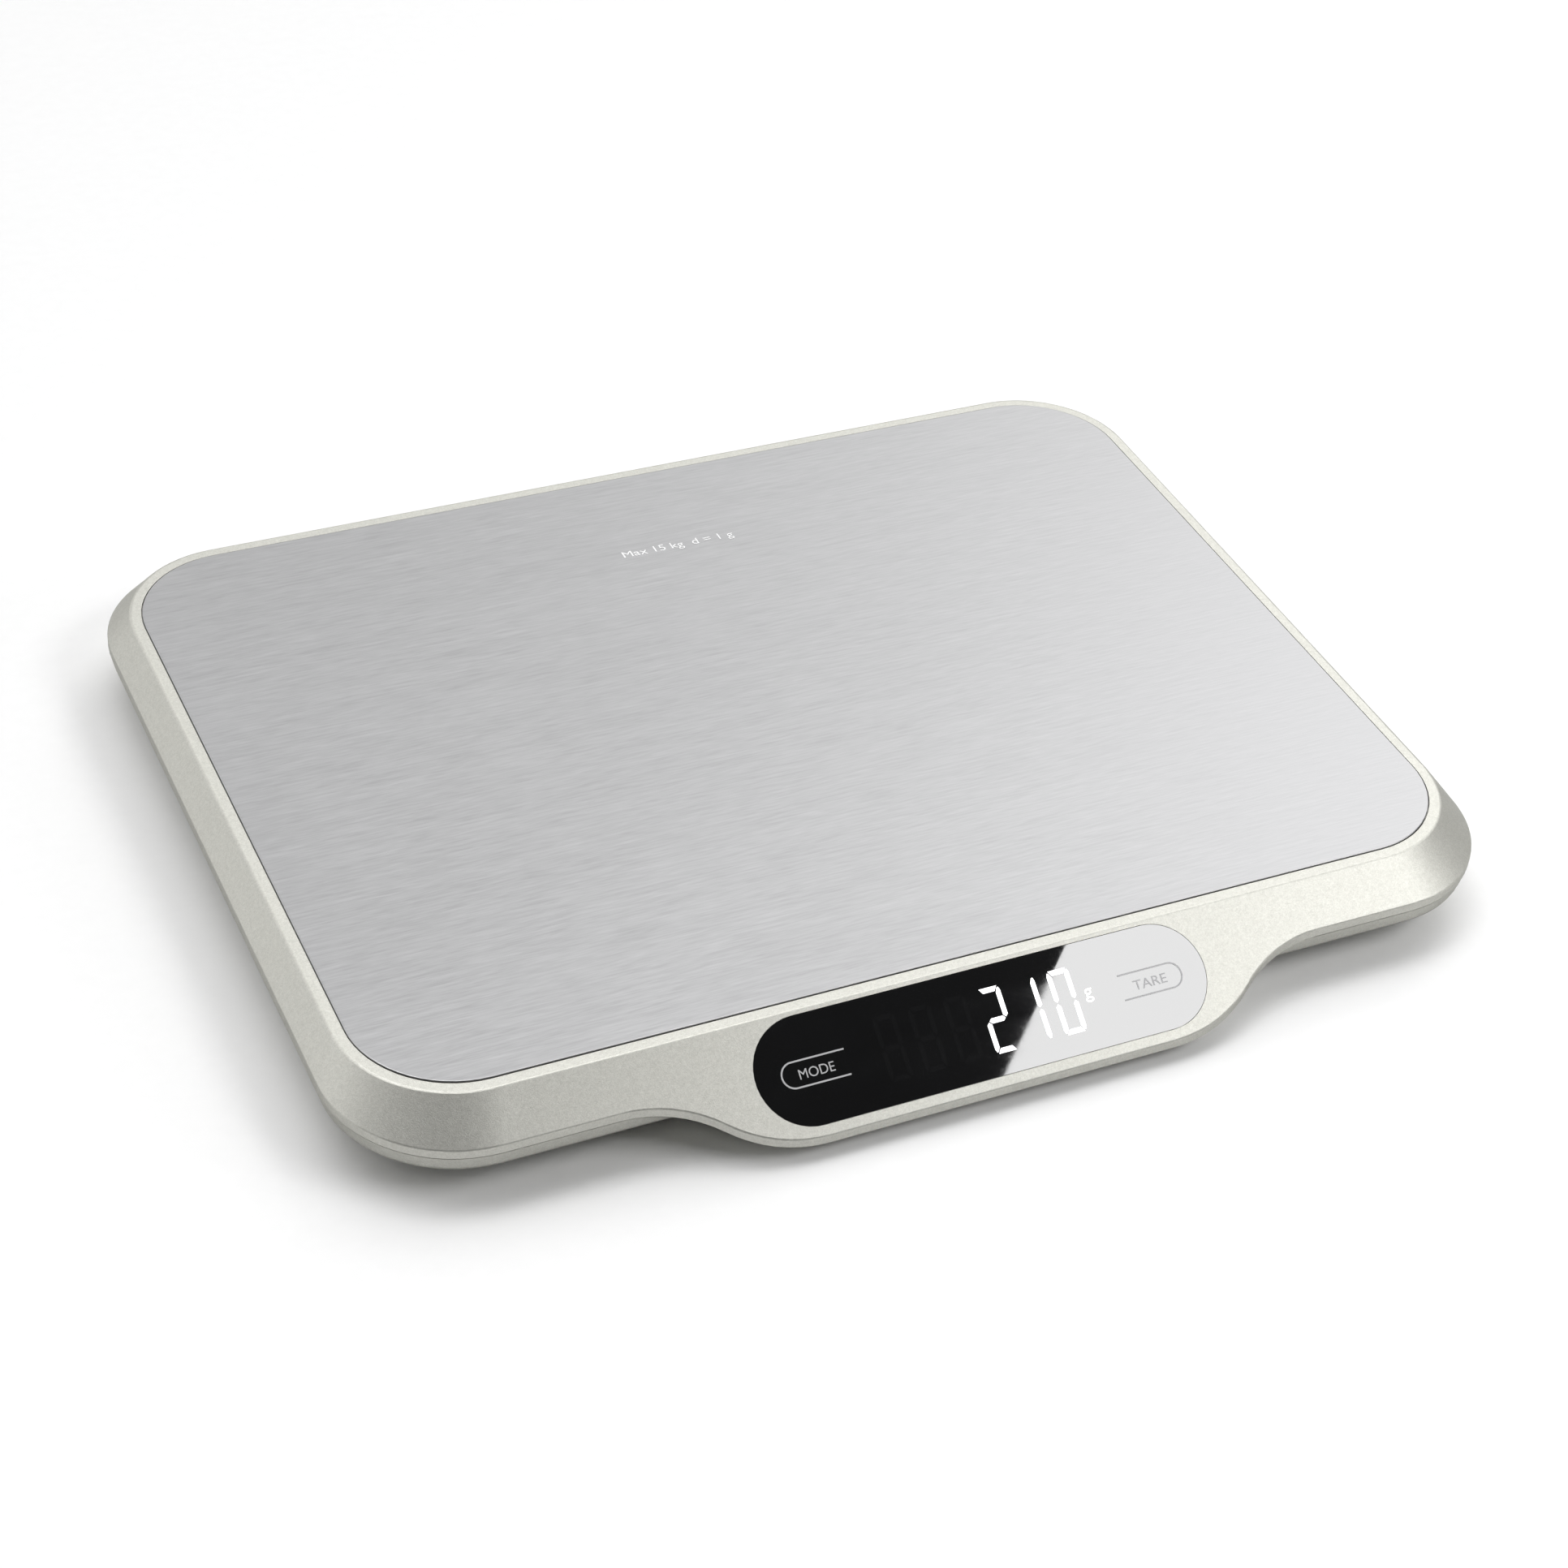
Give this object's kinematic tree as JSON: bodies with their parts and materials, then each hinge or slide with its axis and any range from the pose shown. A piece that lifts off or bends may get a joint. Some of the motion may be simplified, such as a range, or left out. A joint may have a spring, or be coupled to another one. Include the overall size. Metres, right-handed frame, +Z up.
{
  "type": "kitchen scale",
  "caption": "Slim flat digital kitchen scale with a wide brushed-steel weighing plate, pearl housing, a sloping glossy display tongue at the front and sprung load-cell feet.",
  "frame": {"origin": "middle of the whole outline, on the surface the rubber feet stand on", "axes": "+X to the right of the person reading the display, +Y away from that person, +Z up out of the weighing plate"},
  "size_m": [0.3186, 0.2612, 0.0245],
  "materials": {
    "brushed_plate": "brushed along the long side",
    "adhesive_film": "thin double-sided foam film",
    "housing_paint": "satin pearl paint with a fine metallic fleck",
    "label_film": "blank satin film",
    "smoked_lens": "polished smoked acrylic",
    "black_tape": "matt tape",
    "black_moulding": "moulded, fine grain",
    "circuit_board": "green solder mask",
    "screw_steel": "zinc plated",
    "conductive_foam": "carbon-filled foam",
    "chip_epoxy": "matt epoxy",
    "connector_nylon": "natural nylon",
    "ribbon_film": "white flat cable",
    "wire_jacket": "soft vinyl",
    "contact_nickel": "nickel plated",
    "load_cell_steel": "ground alloy steel",
    "foot_moulding": "moulded, fine grain",
    "foot_rubber": "matt non-slip rubber",
    "battery_jacket": "plain printed jacket"
  },
  "bodies": {
    "housing": {"weighing_plate": "brushed_plate", "plate_adhesive": "adhesive_film", "top_cover": "housing_paint", "bottom_cover": "housing_paint", "underside_label": "label_film", "display_lens": "smoked_lens", "lens_tape": "black_tape", "display_mask": "black_moulding", "display_board": "circuit_board", "display_screws": "screw_steel", "touch_pad_mode": "conductive_foam", "touch_pad_tare": "conductive_foam", "main_board": "circuit_board", "board_chips": "chip_epoxy", "board_screws": "screw_steel", "sensor_plugs": "connector_nylon", "ribbon_socket": "connector_nylon", "display_ribbon": "ribbon_film", "battery_leads": "wire_jacket", "battery_springs": "contact_nickel", "battery_contacts": "contact_nickel", "frame_screws": "screw_steel", "cover_screws": "screw_steel", "load_cell_fl": "load_cell_steel", "cell_frame_fl": "black_moulding", "sensor_lead_fl": "wire_jacket", "load_cell_fr": "load_cell_steel", "cell_frame_fr": "black_moulding", "sensor_lead_fr": "wire_jacket", "load_cell_rl": "load_cell_steel", "cell_frame_rl": "black_moulding", "sensor_lead_rl": "wire_jacket", "load_cell_rr": "load_cell_steel", "cell_frame_rr": "black_moulding", "sensor_lead_rr": "wire_jacket", "battery_cell_1": "battery_jacket", "battery_cell_2": "battery_jacket", "battery_cell_3": "battery_jacket"},
    "door": {"battery_door": "housing_paint"},
    "foot_fl": {"foot_shell_fl": "foot_moulding", "foot_pad_fl": "foot_rubber"},
    "foot_fr": {"foot_shell_fr": "foot_moulding", "foot_pad_fr": "foot_rubber"},
    "foot_rl": {"foot_shell_rl": "foot_moulding", "foot_pad_rl": "foot_rubber"},
    "foot_rr": {"foot_shell_rr": "foot_moulding", "foot_pad_rr": "foot_rubber"}
  },
  "joints": [
    {"name": "battery_door_hinge", "type": "hinge", "parent": "housing", "child": "door", "pos_m": [0, 0.08046, 0.0048], "axis": [1, 0, 0], "range_deg": [0, 80]},
    {"name": "foot_fl_travel", "type": "slide", "parent": "housing", "child": "foot_fl", "axis": [0, 0, 1], "range_m": [0, 0.0005], "stiffness_N_per_m": 600, "springref_m": -0.01, "deforming": ["load_cell_fl"]},
    {"name": "foot_fr_travel", "type": "slide", "parent": "housing", "child": "foot_fr", "axis": [0, 0, 1], "range_m": [0, 0.0005], "stiffness_N_per_m": 600, "springref_m": -0.01, "deforming": ["load_cell_fr"]},
    {"name": "foot_rl_travel", "type": "slide", "parent": "housing", "child": "foot_rl", "axis": [0, 0, 1], "range_m": [0, 0.0005], "stiffness_N_per_m": 600, "springref_m": -0.01, "deforming": ["load_cell_rl"]},
    {"name": "foot_rr_travel", "type": "slide", "parent": "housing", "child": "foot_rr", "axis": [0, 0, 1], "range_m": [0, 0.0005], "stiffness_N_per_m": 600, "springref_m": -0.01, "deforming": ["load_cell_rr"]}
  ]
}
